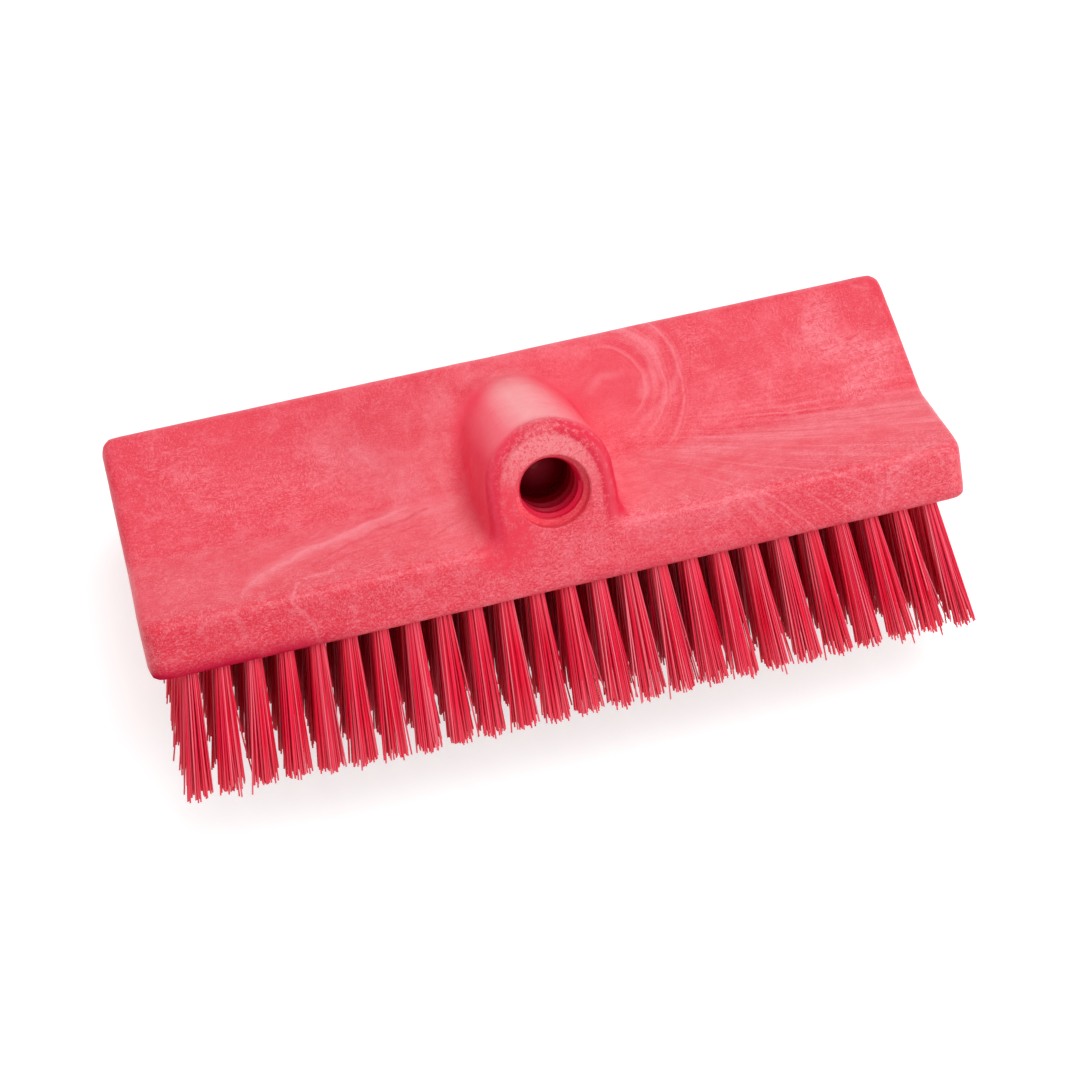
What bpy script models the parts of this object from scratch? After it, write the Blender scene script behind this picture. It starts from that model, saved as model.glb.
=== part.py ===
"""Two-level floor scrub brush head: a folded foam-plastic block with an angled
handle socket, fanned rows of tufts on both wings, and the anchors that hold them.

Everything is modelled in the bore frame and then turned to the brush's stance.
Bore frame: X runs along the brush, Y runs down the handle bore into the block,
Z runs up the front lip, and the origin is on the front ridge at mid length.
The stance turns that frame until the rear wing is level on its bristle tips.
"""
import math

import bmesh
import bpy
from mathutils import Matrix, Vector

# Block, in metres and degrees
BLOCK_LENGTH = 0.252
WING_THICKNESS = 0.0175
FRONT_WING_TOP = 0.0347
REAR_WING_TOP = 0.0454
BORE_TO_FRONT_WING = 15.0
FOLD_ANGLE = 30.0
RIDGE_RADIUS = 0.0034
LIP_RADIUS = 0.0030
BACK_RADIUS = 0.0032
VALLEY_RADIUS = 0.0090
END_RADIUS = 0.0042

# Handle socket
BORE_HEIGHT = 0.0138
BORE_RADIUS = 0.0097
BORE_DEPTH = 0.0280
MOUTH_RADIUS = 0.0112
MOUTH_DEPTH = 0.0035
BOSS_RADIUS = 0.0193
ARCH_RISE = 0.0024
FLANK_DRAFT = 0.0012
BOSS_FOOT_SHARE = 0.33
BOSS_RIM_RADIUS = 0.0032
BOSS_FILLET = 0.0030

# Tuft rows
TUFT_PITCH = 0.009525
LEAST_ROW_PITCH = 0.0080
END_MARGIN = 0.0110
LIP_MARGIN = 0.0047
FOLD_MARGIN = 0.0048
BACK_MARGIN = 0.0060
TRIM_LENGTH = 0.0395
FIRST_LEAN = -2.0
LAST_LEAN = 50.0
SIDE_FAN_SHARE = 0.05

# One strand stands for a bunch of filaments, two strands for a tuft
STRAND_WIDTH = 0.0022
STRAND_TIP_WIDTH = 0.0021
STRAND_SPACING = 0.0026
STRAND_TIP_SPACING = 0.0036
STRAND_STAGGER = 0.0011
STRAND_SIDES = 4

# Slice of the backing that carries a row, and the anchors above it
SLICE_THICKNESS = 0.0030
SLICE_LAND = 0.00045
SINK_SHARE = 0.2
ANCHOR_WIDTH = 0.0042
ANCHOR_HEIGHT = 0.0022
ANCHOR_THICKNESS = 0.0004
SEAT_GAP = 0.0003
CUT_OVERRUN = 0.0020

# Facets of the round stretches
EDGE_STEPS = 3
RIM_STEPS = 3
ARCH_STEPS = 22
BORE_STEPS = 32
FILLET_STEPS = 2

FRONT_TILT = math.radians(BORE_TO_FRONT_WING)
REAR_TILT = math.radians(BORE_TO_FRONT_WING + FOLD_ANGLE)
MERGE_SHARE = 1e-5
TOUCH = BLOCK_LENGTH * MERGE_SHARE


# Directions and corners of the cross-section, as (y, z) in the bore frame
def along(tilt):
    return Vector((math.cos(tilt), math.sin(tilt)))


def inward(tilt):
    return Vector((-math.sin(tilt), math.cos(tilt)))


ridge = Vector((0.0, 0.0))
valley = ridge + along(FRONT_TILT) * FRONT_WING_TOP
backTop = valley + along(REAR_TILT) * REAR_WING_TOP
lipFoot = ridge - Vector((0.0, WING_THICKNESS / math.cos(FRONT_TILT)))
backFoot = backTop - inward(REAR_TILT) * WING_THICKNESS
halfFold = (REAR_TILT - FRONT_TILT) / 2
keel = valley - inward(FRONT_TILT + halfFold) * (WING_THICKNESS / math.cos(halfFold))
bossHeight = BORE_HEIGHT + ARCH_RISE
bossFoot = -WING_THICKNESS * BOSS_FOOT_SHARE


def clear_scene():
    for obj in list(bpy.data.objects):
        bpy.data.objects.remove(obj, do_unlink=True)


def make_material(name, colour, roughness, metallic=0.0):
    material = bpy.data.materials.new(name)
    material.use_nodes = True
    shader = material.node_tree.nodes["Principled BSDF"]
    shader.inputs["Base Color"].default_value = (*colour, 1.0)
    shader.inputs["Roughness"].default_value = roughness
    shader.inputs["Metallic"].default_value = metallic
    return material


def make_object(name, bm, parent=None, material=None):
    bmesh.ops.recalc_face_normals(bm, faces=bm.faces[:])
    mesh = bpy.data.meshes.new(name)
    bm.to_mesh(mesh)
    bm.free()
    obj = bpy.data.objects.new(name, mesh)
    bpy.context.scene.collection.objects.link(obj)
    obj.parent = parent
    if material:
        mesh.materials.append(material)
    return obj


def make_cutter(name, bm, parent):
    cutter = make_object(name, bm, parent)
    cutter.hide_render = True
    cutter.display_type = "WIRE"
    return cutter


def add_boolean(obj, tool, operation):
    step = obj.modifiers.new(tool.name, "BOOLEAN")
    step.operation = operation
    step.solver = "EXACT"
    step.object = tool


def bake_modifiers(obj):
    """Replace the object's mesh with its evaluated one, and return it as a bmesh."""
    graph = bpy.context.evaluated_depsgraph_get()
    baked = bpy.data.meshes.new_from_object(obj.evaluated_get(graph))
    obj.modifiers.clear()
    obj.data = baked
    bm = bmesh.new()
    bm.from_mesh(baked)
    return bm


def shade(obj, degrees=35.0):
    obj.data.shade_smooth()
    obj.data.set_sharp_from_angle(angle=math.radians(degrees))


def rounded_outline(corners, steps):
    """Points of a closed outline whose corners (point, radius) are arcs."""
    points = []
    for index, (corner, radius) in enumerate(corners):
        before = corners[index - 1][0]
        after = corners[(index + 1) % len(corners)][0]
        if radius == 0:
            points.append(corner)
            continue
        arrive = (before - corner).normalized()
        leave = (after - corner).normalized()
        half = arrive.angle(leave) / 2
        centre = corner + (arrive + leave).normalized() * (radius / math.sin(half))
        start = corner + arrive * (radius / math.tan(half)) - centre
        end = corner + leave * (radius / math.tan(half)) - centre
        sweep = start.angle_signed(end)
        for step in range(steps + 1):
            turn = Matrix.Rotation(-sweep * step / steps, 2)
            points.append(centre + turn @ start)
    return points


def extrude_outline(points, place, travel):
    """Close an outline into a face and draw it out along travel."""
    bm = bmesh.new()
    face = bm.faces.new([bm.verts.new(place(point)) for point in points])
    drawn = bmesh.ops.extrude_face_region(bm, geom=[face])["geom"]
    moved = [item for item in drawn if isinstance(item, bmesh.types.BMVert)]
    bmesh.ops.translate(bm, verts=moved, vec=travel)
    return bm


# Block

def folded_bar():
    """The two wings as one rounded cross-section drawn along X."""
    corners = [
        (ridge, RIDGE_RADIUS), (valley, VALLEY_RADIUS), (backTop, BACK_RADIUS),
        (backFoot, BACK_RADIUS), (keel, 0.0), (lipFoot, LIP_RADIUS),
    ]
    points = rounded_outline(corners, EDGE_STEPS)
    bm = extrude_outline(
        points,
        lambda p: Vector((-BLOCK_LENGTH / 2, p.x, p.y)),
        Vector((BLOCK_LENGTH, 0.0, 0.0)),
    )
    ends = [face for face in bm.faces if len(face.verts) == len(points)]
    rims = list({edge for face in ends for edge in face.edges})
    bmesh.ops.bevel(
        bm, geom=rims, offset=END_RADIUS, offset_type="OFFSET", affect="EDGES",
        segments=EDGE_STEPS, profile=0.5, clamp_overlap=True, material=-1,
    )
    return bm


def boss_outline():
    """Arch over the bore with flanks that spread a little towards the foot."""
    points = []
    for step in range(ARCH_STEPS + 1):
        turn = math.pi * step / ARCH_STEPS
        points.append(Vector((
            BOSS_RADIUS * math.cos(turn), bossHeight + BOSS_RADIUS * math.sin(turn))))
    points.append(Vector((-BOSS_RADIUS - FLANK_DRAFT, bossFoot)))
    points.append(Vector((BOSS_RADIUS + FLANK_DRAFT, bossFoot)))
    return points


def socket_boss():
    """The boss from the lip face back to half way through the rear wing."""
    bm = extrude_outline(
        boss_outline(),
        lambda p: Vector((p.x, 0.0, p.y)),
        Vector((0.0, backTop.x, 0.0)),
    )
    rim = [edge for edge in bm.edges if all(abs(v.co.y) < TOUCH for v in edge.verts)]
    bmesh.ops.bevel(
        bm, geom=rim, offset=BOSS_RIM_RADIUS, offset_type="OFFSET", affect="EDGES",
        segments=RIM_STEPS, profile=0.5, clamp_overlap=True, material=-1,
    )
    middle = valley - inward(REAR_TILT) * (WING_THICKNESS / 2)
    normal = -inward(REAR_TILT)
    cut = bmesh.ops.bisect_plane(
        bm, geom=bm.verts[:] + bm.edges[:] + bm.faces[:],
        plane_co=(0.0, middle.x, middle.y), plane_no=(0.0, normal.x, normal.y),
        clear_outer=True,
    )["geom_cut"]
    rim = [item for item in cut if isinstance(item, bmesh.types.BMEdge)]
    bmesh.ops.contextual_create(bm, geom=rim)
    return bm


def on_boss_wall(point):
    """True where a point lies on the arch or on a flank of the boss."""
    if point.z > bossHeight:
        reach = math.hypot(point.x, point.z - bossHeight)
        return abs(reach - BOSS_RADIUS) < BOSS_RIM_RADIUS / 8
    drop = (bossHeight - point.z) / (bossHeight - bossFoot)
    return abs(abs(point.x) - BOSS_RADIUS - FLANK_DRAFT * drop) < BOSS_RIM_RADIUS / 8


def soften_boss_foot(bm):
    """Fillet the inner corner where the boss grows out of the wings."""
    corner = [
        edge for edge in bm.edges
        if len(edge.link_faces) == 2
        and edge.calc_face_angle_signed() < -math.radians(20)
        and all(on_boss_wall(v.co) and v.co.y > RIDGE_RADIUS for v in edge.verts)
    ]
    bmesh.ops.bevel(
        bm, geom=corner, offset=BOSS_FILLET, offset_type="OFFSET", affect="EDGES",
        segments=FILLET_STEPS, profile=0.5, clamp_overlap=False, material=-1,
    )


def bore_cutter():
    """Stepped round cutter: a wide mouth, then the bore."""
    steps = [
        (0.0, -CUT_OVERRUN), (MOUTH_RADIUS, -CUT_OVERRUN), (MOUTH_RADIUS, MOUTH_DEPTH),
        (BORE_RADIUS, MOUTH_DEPTH), (BORE_RADIUS, BORE_DEPTH), (0.0, BORE_DEPTH),
    ]
    bm = bmesh.new()
    verts = [bm.verts.new((radius, depth, BORE_HEIGHT)) for radius, depth in steps]
    edges = [bm.edges.new(pair) for pair in zip(verts, verts[1:])]
    bmesh.ops.spin(
        bm, geom=verts + edges, cent=(0.0, 0.0, BORE_HEIGHT), axis=(0.0, 1.0, 0.0),
        angle=math.tau, steps=BORE_STEPS, use_merge=True, use_duplicate=False,
    )
    bmesh.ops.remove_doubles(bm, verts=bm.verts[:], dist=TOUCH)
    return bm


# Tuft rows

def row_places():
    """(position, tilt) of each row, front to back, spread evenly on each wing."""
    places = []
    for start, stop, tilt, first, last in (
        (lipFoot, keel, FRONT_TILT, LIP_MARGIN, FOLD_MARGIN),
        (keel, backFoot, REAR_TILT, FOLD_MARGIN, BACK_MARGIN),
    ):
        span = (stop - start).length - first - last
        gaps = max(1, int(span / LEAST_ROW_PITCH))
        for index in range(gaps + 1):
            places.append((start + along(tilt) * (first + span * index / gaps), tilt))
    return places


def tuft_stations():
    """X of each tuft in a row, centred on the block."""
    gaps = int((BLOCK_LENGTH - 2 * END_MARGIN) / TUFT_PITCH)
    return [(index - gaps / 2) * TUFT_PITCH for index in range(gaps + 1)]


def place_in_row(obj, position, tilt):
    obj.location = (0.0, position.x, position.y)
    obj.rotation_euler = (tilt, 0.0, 0.0)


def add_box(bm, size, centre):
    spread = Matrix.Diagonal((*size, 1.0))
    bmesh.ops.create_cube(bm, size=1.0, matrix=Matrix.Translation(centre) @ spread)


sliceLength = 2 * max(tuft_stations()) + TUFT_PITCH
sliceWidth = STRAND_STAGGER + STRAND_WIDTH + 2 * SLICE_LAND
flatToCorner = 1 / math.cos(math.pi / STRAND_SIDES)


def add_strand(bm, root, tip):
    """One straight tapered strand from inside the slice to past the trim."""
    rise = root - tip
    turn = Vector((0.0, 0.0, 1.0)).rotation_difference(rise).to_matrix().to_4x4()
    square = Matrix.Rotation(math.pi / STRAND_SIDES, 4, "Z")
    bmesh.ops.create_cone(
        bm, cap_ends=True, segments=STRAND_SIDES,
        radius1=STRAND_TIP_WIDTH / 2 * flatToCorner,
        radius2=STRAND_WIDTH / 2 * flatToCorner,
        depth=rise.length, matrix=Matrix.Translation((root + tip) / 2) @ turn @ square,
    )


def row_strands(lean):
    """Two strands for each tuft, fanned sideways and trimmed to one plane."""
    bm = bmesh.new()
    fall = TRIM_LENGTH + CUT_OVERRUN
    splay = (STRAND_TIP_SPACING - STRAND_SPACING) / 2
    for x in tuft_stations():
        outer = math.copysign(1, x) if x else 0
        for side in (-1, 1):
            sideways = (x * SIDE_FAN_SHARE + side * splay) / TRIM_LENGTH
            slope = Vector((sideways, math.tan(lean), -1.0))
            stagger = outer * side * STRAND_STAGGER / 2
            foot = Vector((x + side * STRAND_SPACING / 2, stagger, 0.0))
            add_strand(bm, foot - slope * SLICE_THICKNESS * SINK_SHARE, foot + slope * fall)
    cut = bmesh.ops.bisect_plane(
        bm, geom=bm.verts[:] + bm.edges[:] + bm.faces[:],
        plane_co=(0.0, 0.0, -TRIM_LENGTH), plane_no=(0.0, 0.0, -1.0), clear_outer=True,
    )["geom_cut"]
    rims = [item for item in cut if isinstance(item, bmesh.types.BMEdge)]
    bmesh.ops.edgeloop_fill(bm, edges=rims)
    return bm


def row_slice():
    bm = bmesh.new()
    add_box(bm, (sliceLength, sliceWidth, SLICE_THICKNESS), (0.0, 0.0, SLICE_THICKNESS / 2))
    return bm


def row_anchors():
    """Flat wire anchors, one across the fold of each tuft, standing out of the slice."""
    bm = bmesh.new()
    foot = SLICE_THICKNESS / 2
    size = (ANCHOR_WIDTH, ANCHOR_THICKNESS, ANCHOR_HEIGHT + foot)
    for x in tuft_stations():
        add_box(bm, size, (x, 0.0, foot + size[2] / 2))
    return bm


def seat_cutter(places):
    """Open seat for each slice, and the narrow anchor slot above it, as one outline."""
    bm = bmesh.new()
    seatTop = SLICE_THICKNESS + SEAT_GAP
    slotTop = seatTop + ANCHOR_HEIGHT
    halfSeat = sliceWidth / 2 + SEAT_GAP
    halfSlot = ANCHOR_THICKNESS / 2 + SEAT_GAP
    half = [(halfSeat, -CUT_OVERRUN), (halfSeat, seatTop), (halfSlot, seatTop), (halfSlot, slotTop)]
    outline = half + [(-y, z) for y, z in reversed(half)]
    reach = sliceLength / 2 + SEAT_GAP
    for position, tilt in places:
        turn = Matrix.Translation((0.0, position.x, position.y)) @ Matrix.Rotation(tilt, 4, "X")
        face = bm.faces.new([bm.verts.new(turn @ Vector((-reach, y, z))) for y, z in outline])
        drawn = bmesh.ops.extrude_face_region(bm, geom=[face])["geom"]
        moved = [item for item in drawn if isinstance(item, bmesh.types.BMVert)]
        bmesh.ops.translate(bm, verts=moved, vec=(2 * reach, 0.0, 0.0))
    return bm


def build_block(stance, places):
    foam = make_material("foam_plastic", (0.78, 0.13, 0.17), 0.55)
    block = make_object("block", folded_bar(), stance, foam)
    boss = make_cutter("boss_form", socket_boss(), stance)
    add_boolean(block, boss, "UNION")
    bm = bake_modifiers(block)
    soften_boss_foot(bm)
    bm.to_mesh(block.data)
    bm.free()
    add_boolean(block, make_cutter("bore_form", bore_cutter(), stance), "DIFFERENCE")
    add_boolean(block, make_cutter("seat_form", seat_cutter(places), stance), "DIFFERENCE")
    shade(block)


def build_rows(stance, places):
    fibre = make_material("bristle", (0.72, 0.06, 0.11), 0.42)
    for index, (position, tilt) in enumerate(places):
        share = index / (len(places) - 1)
        lean = math.radians(FIRST_LEAN + (LAST_LEAN - FIRST_LEAN) * share) - tilt
        row = make_object(f"bristle_row_{index + 1:02d}", row_slice(), stance, fibre)
        strands = make_cutter(f"strand_form_{index + 1:02d}", row_strands(lean), stance)
        anchors = make_cutter(f"anchor_form_{index + 1:02d}", row_anchors(), stance)
        for obj in (row, strands, anchors):
            place_in_row(obj, position, tilt)
        add_boolean(row, strands, "UNION")
        add_boolean(row, anchors, "UNION")


def set_stance(stance):
    """Level the rear wing on its tips at Z = 0, centred over the footprint."""
    floor = valley.dot(inward(REAR_TILT)) - WING_THICKNESS - TRIM_LENGTH
    stance.rotation_euler = (-REAR_TILT, 0.0, 0.0)
    stance.location = (0.0, 0.0, -floor)
    bpy.context.view_layer.update()
    depths = []
    graph = bpy.context.evaluated_depsgraph_get()
    for obj in bpy.data.objects:
        if obj.type == "MESH" and not obj.hide_render:
            shape = obj.evaluated_get(graph)
            depths += [(shape.matrix_world @ v.co).y for v in shape.data.vertices]
    stance.location.y = -(min(depths) + max(depths)) / 2
    bpy.context.view_layer.update()


clear_scene()
stance = bpy.data.objects.new("stance", None)
bpy.context.scene.collection.objects.link(stance)
rowPlaces = row_places()
build_block(stance, rowPlaces)
build_rows(stance, rowPlaces)
set_stance(stance)
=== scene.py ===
# Looks of a two-level floor scrub brush head: moulded foam-plastic block, socket thread,
# and 250 tufts of cut filaments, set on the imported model.
import math
import random

import bmesh
import bpy
import numpy as np
from mathutils import Matrix, Vector
from mathutils.kdtree import KDTree


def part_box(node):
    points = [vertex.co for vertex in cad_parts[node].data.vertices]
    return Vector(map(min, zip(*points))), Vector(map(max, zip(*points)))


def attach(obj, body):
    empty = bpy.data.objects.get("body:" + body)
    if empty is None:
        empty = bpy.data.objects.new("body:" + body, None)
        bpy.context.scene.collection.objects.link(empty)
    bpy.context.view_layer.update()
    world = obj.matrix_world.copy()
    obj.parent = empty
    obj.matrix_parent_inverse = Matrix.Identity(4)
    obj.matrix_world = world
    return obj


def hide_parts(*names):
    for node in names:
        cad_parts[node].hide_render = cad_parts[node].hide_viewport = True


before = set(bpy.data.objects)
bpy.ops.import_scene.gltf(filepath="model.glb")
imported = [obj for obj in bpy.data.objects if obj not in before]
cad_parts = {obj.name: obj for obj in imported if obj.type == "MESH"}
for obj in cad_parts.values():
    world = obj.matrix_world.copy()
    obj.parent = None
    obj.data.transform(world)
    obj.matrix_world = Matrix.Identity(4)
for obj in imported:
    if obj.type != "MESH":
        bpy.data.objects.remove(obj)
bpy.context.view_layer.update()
print("frame loaded")

# Sizes shared by the pieces, metres and degrees
head = {
    "length": 0.252,
    "thickness": 0.0175,
    "frontTop": 0.0347,
    "rearTop": 0.0454,
    "boreToFront": 15.0,
    "fold": 30.0,
    "trim": 0.0395,
}
frontTilt = math.radians(head["boreToFront"])
rearTilt = math.radians(head["boreToFront"] + head["fold"])


def along(tilt):
    return Vector((math.cos(tilt), math.sin(tilt)))


def inward(tilt):
    return Vector((-math.sin(tilt), math.cos(tilt)))


# Corners of the cross-section as (y, z) in the bore frame, whose Y runs down the bore
ridge = Vector((0.0, 0.0))
valley = along(frontTilt) * head["frontTop"]
backTop = valley + along(rearTilt) * head["rearTop"]
backFoot = backTop - inward(rearTilt) * head["thickness"]
lipFoot = Vector((0.0, -head["thickness"] / math.cos(frontTilt)))
halfFold = (rearTilt - frontTilt) / 2
keel = valley - inward(frontTilt + halfFold) * head["thickness"] / math.cos(halfFold)

# The stance turns the bore frame until the rear wing is level on its tips
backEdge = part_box("block")[1].y
stancePlace = Vector((
    0.0,
    backEdge - backTop.dot(along(rearTilt)),
    head["trim"] + head["thickness"] - valley.dot(inward(rearTilt)),
))
stance = Matrix.Translation(stancePlace) @ Matrix.Rotation(-rearTilt, 4, "X")


# Helpers

def linkMesh(name, mesh):
    obj = bpy.data.objects.new(name, mesh)
    bpy.context.scene.collection.objects.link(obj)
    return obj


def fromBmesh(name, bm):
    bmesh.ops.recalc_face_normals(bm, faces=bm.faces[:])
    mesh = bpy.data.meshes.new(name)
    bm.to_mesh(mesh)
    bm.free()
    return linkMesh(name, mesh)


def applyModifiers(obj):
    graph = bpy.context.evaluated_depsgraph_get()
    baked = bpy.data.meshes.new_from_object(obj.evaluated_get(graph))
    obj.modifiers.clear()
    obj.data = baked


def boolean(obj, tool, operation):
    step = obj.modifiers.new(tool.name, "BOOLEAN")
    step.operation, step.solver, step.object = operation, "EXACT", tool
    applyModifiers(obj)
    bpy.data.objects.remove(tool)


def shadeByAngle(obj, degrees):
    obj.data.shade_smooth()
    obj.data.set_sharp_from_angle(angle=math.radians(degrees))


def bevelEdges(bm, edges, offset, segments):
    bmesh.ops.bevel(
        bm, geom=edges, offset=offset, offset_type="OFFSET", affect="EDGES",
        segments=segments, profile=0.5, clamp_overlap=True, material=-1,
    )


def fade(values, start, stop):
    # 0 at start and 1 at stop, either way round
    return np.clip((values - start) / (stop - start), 0.0, 1.0)


def drawOut(bm, faces, reach):
    # extrudes flat faces along a vector
    drawn = bmesh.ops.extrude_face_region(bm, geom=faces)["geom"]
    moved = [item for item in drawn if isinstance(item, bmesh.types.BMVert)]
    bmesh.ops.translate(bm, verts=moved, vec=reach)


def newNode(tree, kind, inputs=None, **settings):
    node = tree.nodes.new("ShaderNode" + kind)
    for key, value in settings.items():
        setattr(node, key, value)
    for key, value in (inputs or {}).items():
        if isinstance(value, bpy.types.NodeSocket):
            tree.links.new(value, node.inputs[key])
        else:
            node.inputs[key].default_value = value
    return node


def ramp(tree, factor, stops):
    node = newNode(tree, "ValToRGB", {"Fac": factor})
    elements = node.color_ramp.elements
    while len(elements) < len(stops):
        elements.new(0.5)
    for element, (place, colour) in zip(elements, stops):
        element.position = place
        element.color = (*colour, 1.0) if isinstance(colour, tuple) else (colour,) * 3 + (1.0,)
    return node.outputs["Color"]


def math2(tree, operation, a, b=0.0, clamp=False):
    return newNode(tree, "Math", {0: a, 1: b}, operation=operation, use_clamp=clamp).outputs[0]


def vector2(tree, operation, a, b=(0.0, 0.0, 0.0), out="Vector"):
    second = 3 if operation == "SCALE" else 1
    return newNode(tree, "VectorMath", {0: a, second: b}, operation=operation).outputs[out]


def product(tree, first, *others):
    for other in others:
        first = math2(tree, "MULTIPLY", first, other)
    return first


def paint(tree, colour, tone, *shares):
    # lays a tone over a colour, by the product of the shares
    tone = (*tone, 1.0) if isinstance(tone, tuple) else tone
    values = {0: product(tree, *shares), 6: colour, 7: tone}
    return newNode(tree, "Mix", values, data_type="RGBA").outputs[2]


def noise(tree, vector, scale, detail=3.0, roughness=0.5, distortion=0.0, out="Fac"):
    node = newNode(tree, "TexNoise", {
        "Vector": vector, "Scale": scale, "Detail": detail,
        "Roughness": roughness, "Distortion": distortion,
    })
    return node.outputs[out]


def stretched(tree, vector, scale, turn=(0.0, 0.0, 0.0)):
    return newNode(tree, "Mapping", {"Vector": vector, "Scale": scale, "Rotation": turn}).outputs[0]


def startMaterial(name):
    material = bpy.data.materials.new(name)
    material.use_nodes = True
    tree = material.node_tree
    return material, tree, tree.nodes["Principled BSDF"]


# Camera at the photograph's angle
camera = {
    "place": (-0.11074, -0.32989, 0.74358),
    "target": (-0.00161, -0.00306, 0.04381),
    "roll": 3.871,
    "lens": 84.496,
    "sensor": 36.0,
}


def buildCamera():
    data = bpy.data.cameras.new("camera")
    data.lens = camera["lens"]
    data.sensor_width = camera["sensor"]
    obj = bpy.data.objects.new("camera", data)
    bpy.context.scene.collection.objects.link(obj)
    aim = Vector(camera["target"]) - Vector(camera["place"])
    level = aim.to_track_quat("-Z", "Y").to_matrix()
    turn = level @ Matrix.Rotation(math.radians(camera["roll"]), 3, "Z")
    obj.matrix_world = Matrix.Translation(camera["place"]) @ turn.to_4x4()
    bpy.context.scene.camera = obj


buildCamera()
print("camera placed")

# Block: folded bar with the handle boss grown out of it
block = {
    "ridgeRadius": 0.0042,
    "lipRadius": 0.0028,
    "backRadius": 0.0034,
    "valleyRadius": 0.0090,
    "keelRadius": 0.0030,
    "endRadius": 0.0032,
    "cornerRadius": 0.0052,
    "cornerSpan": 20,
    "edgeSteps": 7,
    "boreHeight": 0.0138,
    "boreRadius": 0.0099,
    "leadRadius": 0.0097,
    "crestRadius": 0.0088,
    "boreDepth": 0.0280,
    "mouthRadius": 0.0112,
    "mouthDepth": 0.0034,
    "mouthChamfer": 0.0004,
    "leadChamfers": 6,
    "boreSteps": 96,
    "bossRadius": 0.0193,
    "archRise": 0.0024,
    "flankDraft": 0.0012,
    "footShare": 0.33,
    "bossRim": 0.0038,
    "archSteps": 64,
    "creaseAngle": 18.0,
    "creaseReach": 1.3,
    "pointGap": 0.001,
    "voxel": 0.0009,
    "footReach": 0.0105,
    "footPasses": 90,
    "cornerReach": 0.0065,
    "cornerPasses": 14,
    "allPasses": 1,
    "waviness": 0.00022,
    "waveSize": 0.016,
    "overrun": 0.0020,
    "merge": 1e-6,
    "hair": 1e-5,
    "sharpAngle": 40.0,
}
bossHeight = block["boreHeight"] + block["archRise"]
bossFoot = -head["thickness"] * block["footShare"]


def roundedOutline(corners, steps):
    # closed outline whose corners, each a point with a radius, are arcs
    points = []
    for index, (corner, radius) in enumerate(corners):
        before = corners[index - 1][0]
        after = corners[(index + 1) % len(corners)][0]
        arrive = (before - corner).normalized()
        leave = (after - corner).normalized()
        half = arrive.angle(leave) / 2
        centre = corner + (arrive + leave).normalized() * radius / math.sin(half)
        start = corner + arrive * radius / math.tan(half) - centre
        end = corner + leave * radius / math.tan(half) - centre
        sweep = start.angle_signed(end)
        points += [
            centre + Matrix.Rotation(-sweep * step / steps, 2) @ start
            for step in range(steps + 1)
        ]
    return points


def foldedBar():
    corners = (
        (ridge, block["ridgeRadius"]), (valley, block["valleyRadius"]),
        (backTop, block["backRadius"]), (backFoot, block["backRadius"]),
        (keel, block["keelRadius"]), (lipFoot, block["lipRadius"]),
    )
    outline = roundedOutline(corners, block["edgeSteps"])
    bm = bmesh.new()
    face = bm.faces.new([bm.verts.new((-head["length"] / 2, p.x, p.y)) for p in outline])
    drawOut(bm, [face], (head["length"], 0.0, 0.0))
    ends = [face for face in bm.faces if len(face.verts) == len(outline)]
    rims = list({edge for face in ends for edge in face.edges})
    bevelEdges(bm, rims, block["endRadius"], block["edgeSteps"])
    bmesh.ops.remove_doubles(bm, verts=bm.verts[:], dist=block["merge"])
    return fromBmesh("bar", bm)


def socketBoss():
    bm = bmesh.new()
    first = bm.verts.new((block["bossRadius"], 0.0, bossHeight))
    arc = bmesh.ops.spin(
        bm, geom=[first], cent=(0.0, 0.0, bossHeight), axis=(0.0, -1.0, 0.0),
        angle=math.pi, steps=block["archSteps"], use_duplicate=False,
    )["geom_last"][0]
    foot = block["bossRadius"] + block["flankDraft"]
    left = bm.verts.new((math.copysign(foot, arc.co.x), 0.0, bossFoot))
    right = bm.verts.new((math.copysign(foot, first.co.x), 0.0, bossFoot))
    for pair in ((arc, left), (left, right), (right, first)):
        bm.edges.new(pair)
    bmesh.ops.contextual_create(bm, geom=bm.edges[:])
    drawOut(bm, bm.faces[:], (0.0, backTop.x, 0.0))
    bmesh.ops.recalc_face_normals(bm, faces=bm.faces[:])
    rim = [edge for edge in bm.edges if all(abs(v.co.y) < block["merge"] for v in edge.verts)]
    bevelEdges(bm, rim, block["bossRim"], block["edgeSteps"])
    middle = valley - inward(rearTilt) * (head["thickness"] / 2)
    normal = -inward(rearTilt)
    cut = bmesh.ops.bisect_plane(
        bm, geom=bm.verts[:] + bm.edges[:] + bm.faces[:],
        plane_co=(0.0, middle.x, middle.y), plane_no=(0.0, normal.x, normal.y),
        clear_outer=True,
    )["geom_cut"]
    bmesh.ops.contextual_create(bm, geom=[g for g in cut if isinstance(g, bmesh.types.BMEdge)])
    return fromBmesh("boss", bm)


def uprightPlaces():
    # frames of the lip and of the back: X along the head, Y into the block, Z up the face
    back = Matrix.Translation((0.0, backTop.x, backTop.y))
    return Matrix.Identity(4), back @ Matrix.Rotation(rearTilt + math.pi, 4, "X")


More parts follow.
